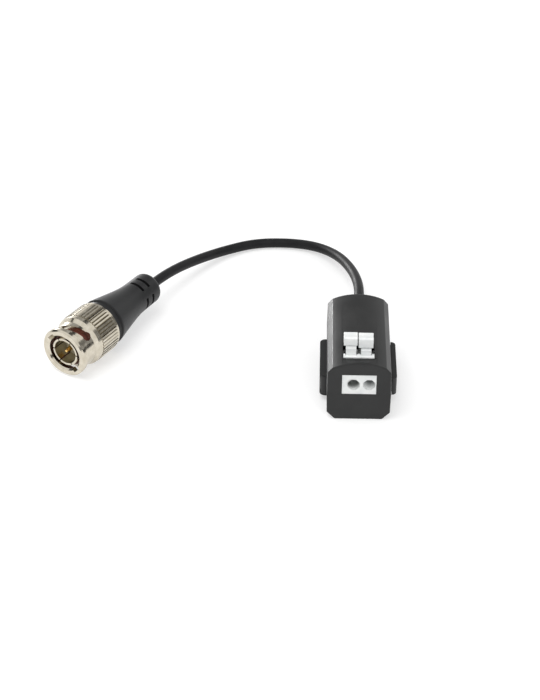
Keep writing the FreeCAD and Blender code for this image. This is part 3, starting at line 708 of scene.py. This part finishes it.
def makeBoot():
    slotBottom = boot["neckRadius"] - boot["slotDepth"]
    mesh = bmesh.new()
    rings = []
    for station, radius, inSlot in bootStations():
        radii = []
        for spoke in range(boot["spokes"]):
            angle = 360 * spoke / boot["spokes"]
            fromMiddle = abs((angle - boot["slotTurn"] + 45) % 90 - 45)    # a slot each quarter
            cut = inSlot and fromMiddle <= boot["slotHalfAngle"]
            radii.append(slotBottom if cut else radius)
        rings.append(addRing(mesh, station, radii))
    joinRings(mesh, rings)
    mesh.faces.new(reversed(rings[0]))
    mesh.faces.new(rings[-1])
    piece = turnedPiece("cableBoot", mesh, "boot", boot["sharpFrom"])
    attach(piece, "housing")
    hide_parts("cable_boot")
    return piece


print("balun: turning the gasket and the boot")
sealingGasket = makeGasket()
cableBoot = makeBoot()

# Studio: white floor, soft lamps and dark cards for the metal to reflect
studio = {
    "floorSize": 6.0,
    "floorColour": 0.62,
    "floorGlow": 0.46,
    "sky": 1.0,
    "skyFill": 0.55,
    "lampAim": (-0.03, 0.0, 0.0),
    "lamps": [     # name, place, size, watts, whether it shows in reflections
        ("keyLamp", (-0.25, -0.15, 0.80), 0.7, 3.2, False),
        ("fillLamp", (0.30, -0.58, 0.36), 0.5, 2.0, False),
        ("backLamp", (-0.52, 0.76, 0.13), 0.30, 3.6, True),
    ],
    "cardAim": (-0.07, 0.01, 0.007),
    "cards": [     # name, place, size across and up, brightness
        ("cardBack", (0.02, 0.74, 0.55), (1.00, 0.42), 0.42),
        ("cardRight", (0.33, 0.13, 0.13), (0.15, 0.26), 0.20),
        ("cardHigh", (0.12, 0.42, 0.62), (0.22, 0.20), 0.03),
        ("cardLeft", (-0.55, 0.10, 0.20), (0.16, 0.40), 0.05),
        ("cardFront", (-0.05, -0.70, 0.12), (0.40, 0.16), 0.08),
    ],
}


def lookAt(thing, target):
    direction = Vector(target) - thing.location
    thing.rotation_euler = direction.to_track_quat("-Z", "Y").to_euler()


def seenDirectly(tree):
    # 1 where the camera, a mirror or a clear piece sees the surface
    path = tree.nodes.new("ShaderNodeLightPath")
    seen = path.outputs["Is Camera Ray"]
    for ray in ("Is Glossy Ray", "Is Transmission Ray"):
        either = tree.nodes.new("ShaderNodeMath")
        either.operation = "MAXIMUM"
        tree.links.new(seen, either.inputs[0])
        tree.links.new(path.outputs[ray], either.inputs[1])
        seen = either.outputs[0]
    return seen


def plainPanel(name, across, up):
    x, y = across / 2, up / 2
    mesh = bpy.data.meshes.new(name)
    mesh.from_pydata([(-x, -y, 0), (x, -y, 0), (x, y, 0), (-x, y, 0)], [], [(0, 1, 2, 3)])
    panel = newObject(name, mesh)
    return panel


def emptyPaint(name):
    # a material with nothing but its output, and the tree to build it in
    paint = bpy.data.materials.new(name)
    paint.use_nodes = True
    tree = paint.node_tree
    tree.nodes.clear()
    return paint, tree, tree.nodes.new("ShaderNodeOutputMaterial")


def makeFloor():
    floor = plainPanel("floor", studio["floorSize"], studio["floorSize"])
    paint, tree, output = emptyPaint("floorPaint")
    matt = tree.nodes.new("ShaderNodeBsdfDiffuse")
    matt.inputs["Color"].default_value = (*[studio["floorColour"]] * 3, 1)
    glow = tree.nodes.new("ShaderNodeEmission")
    power = tree.nodes.new("ShaderNodeMath")
    power.operation = "MULTIPLY"
    power.inputs[1].default_value = studio["floorGlow"]
    both = tree.nodes.new("ShaderNodeAddShader")
    tree.links.new(seenDirectly(tree), power.inputs[0])
    tree.links.new(power.outputs[0], glow.inputs["Strength"])
    tree.links.new(matt.outputs[0], both.inputs[0])
    tree.links.new(glow.outputs[0], both.inputs[1])
    tree.links.new(both.outputs[0], output.inputs["Surface"])
    floor.data.materials.append(paint)


def makeSky():
    sky = bpy.data.worlds.new("studioSky")
    sky.use_nodes = True
    tree = sky.node_tree
    shine = tree.nodes["Background"]
    shine.inputs["Color"].default_value = (1, 1, 1, 1)
    level = tree.nodes.new("ShaderNodeMapRange")
    level.inputs["To Min"].default_value = studio["skyFill"]
    level.inputs["To Max"].default_value = studio["sky"]
    tree.links.new(seenDirectly(tree), level.inputs["Value"])
    tree.links.new(level.outputs["Result"], shine.inputs["Strength"])
    bpy.context.scene.world = sky


def makeLamps():
    for name, place, size, watts, mirrored in studio["lamps"]:
        data = bpy.data.lights.new(name, "AREA")
        data.shape = "DISK"
        data.size = size
        data.energy = watts
        lamp = newObject(name, data)
        lamp.location = place
        lamp.visible_glossy = mirrored
        lookAt(lamp, studio["lampAim"])


def makeCards():
    # only reflections show them
    for name, place, (across, up), brightness in studio["cards"]:
        card = plainPanel(name, across, up)
        card.location = place
        card.visible_camera = False
        card.visible_diffuse = False
        card.visible_shadow = False
        paint, tree, output = emptyPaint(name)
        glow = tree.nodes.new("ShaderNodeEmission")
        glow.inputs["Strength"].default_value = brightness
        tree.links.new(glow.outputs[0], output.inputs["Surface"])
        card.data.materials.append(paint)
        lookAt(card, studio["cardAim"])


print("balun: setting the studio")
makeFloor()
makeSky()
makeLamps()
makeCards()
bpy.context.scene.view_settings.view_transform = "Standard"

bpy.context.view_layer.update()
print("balun: done")
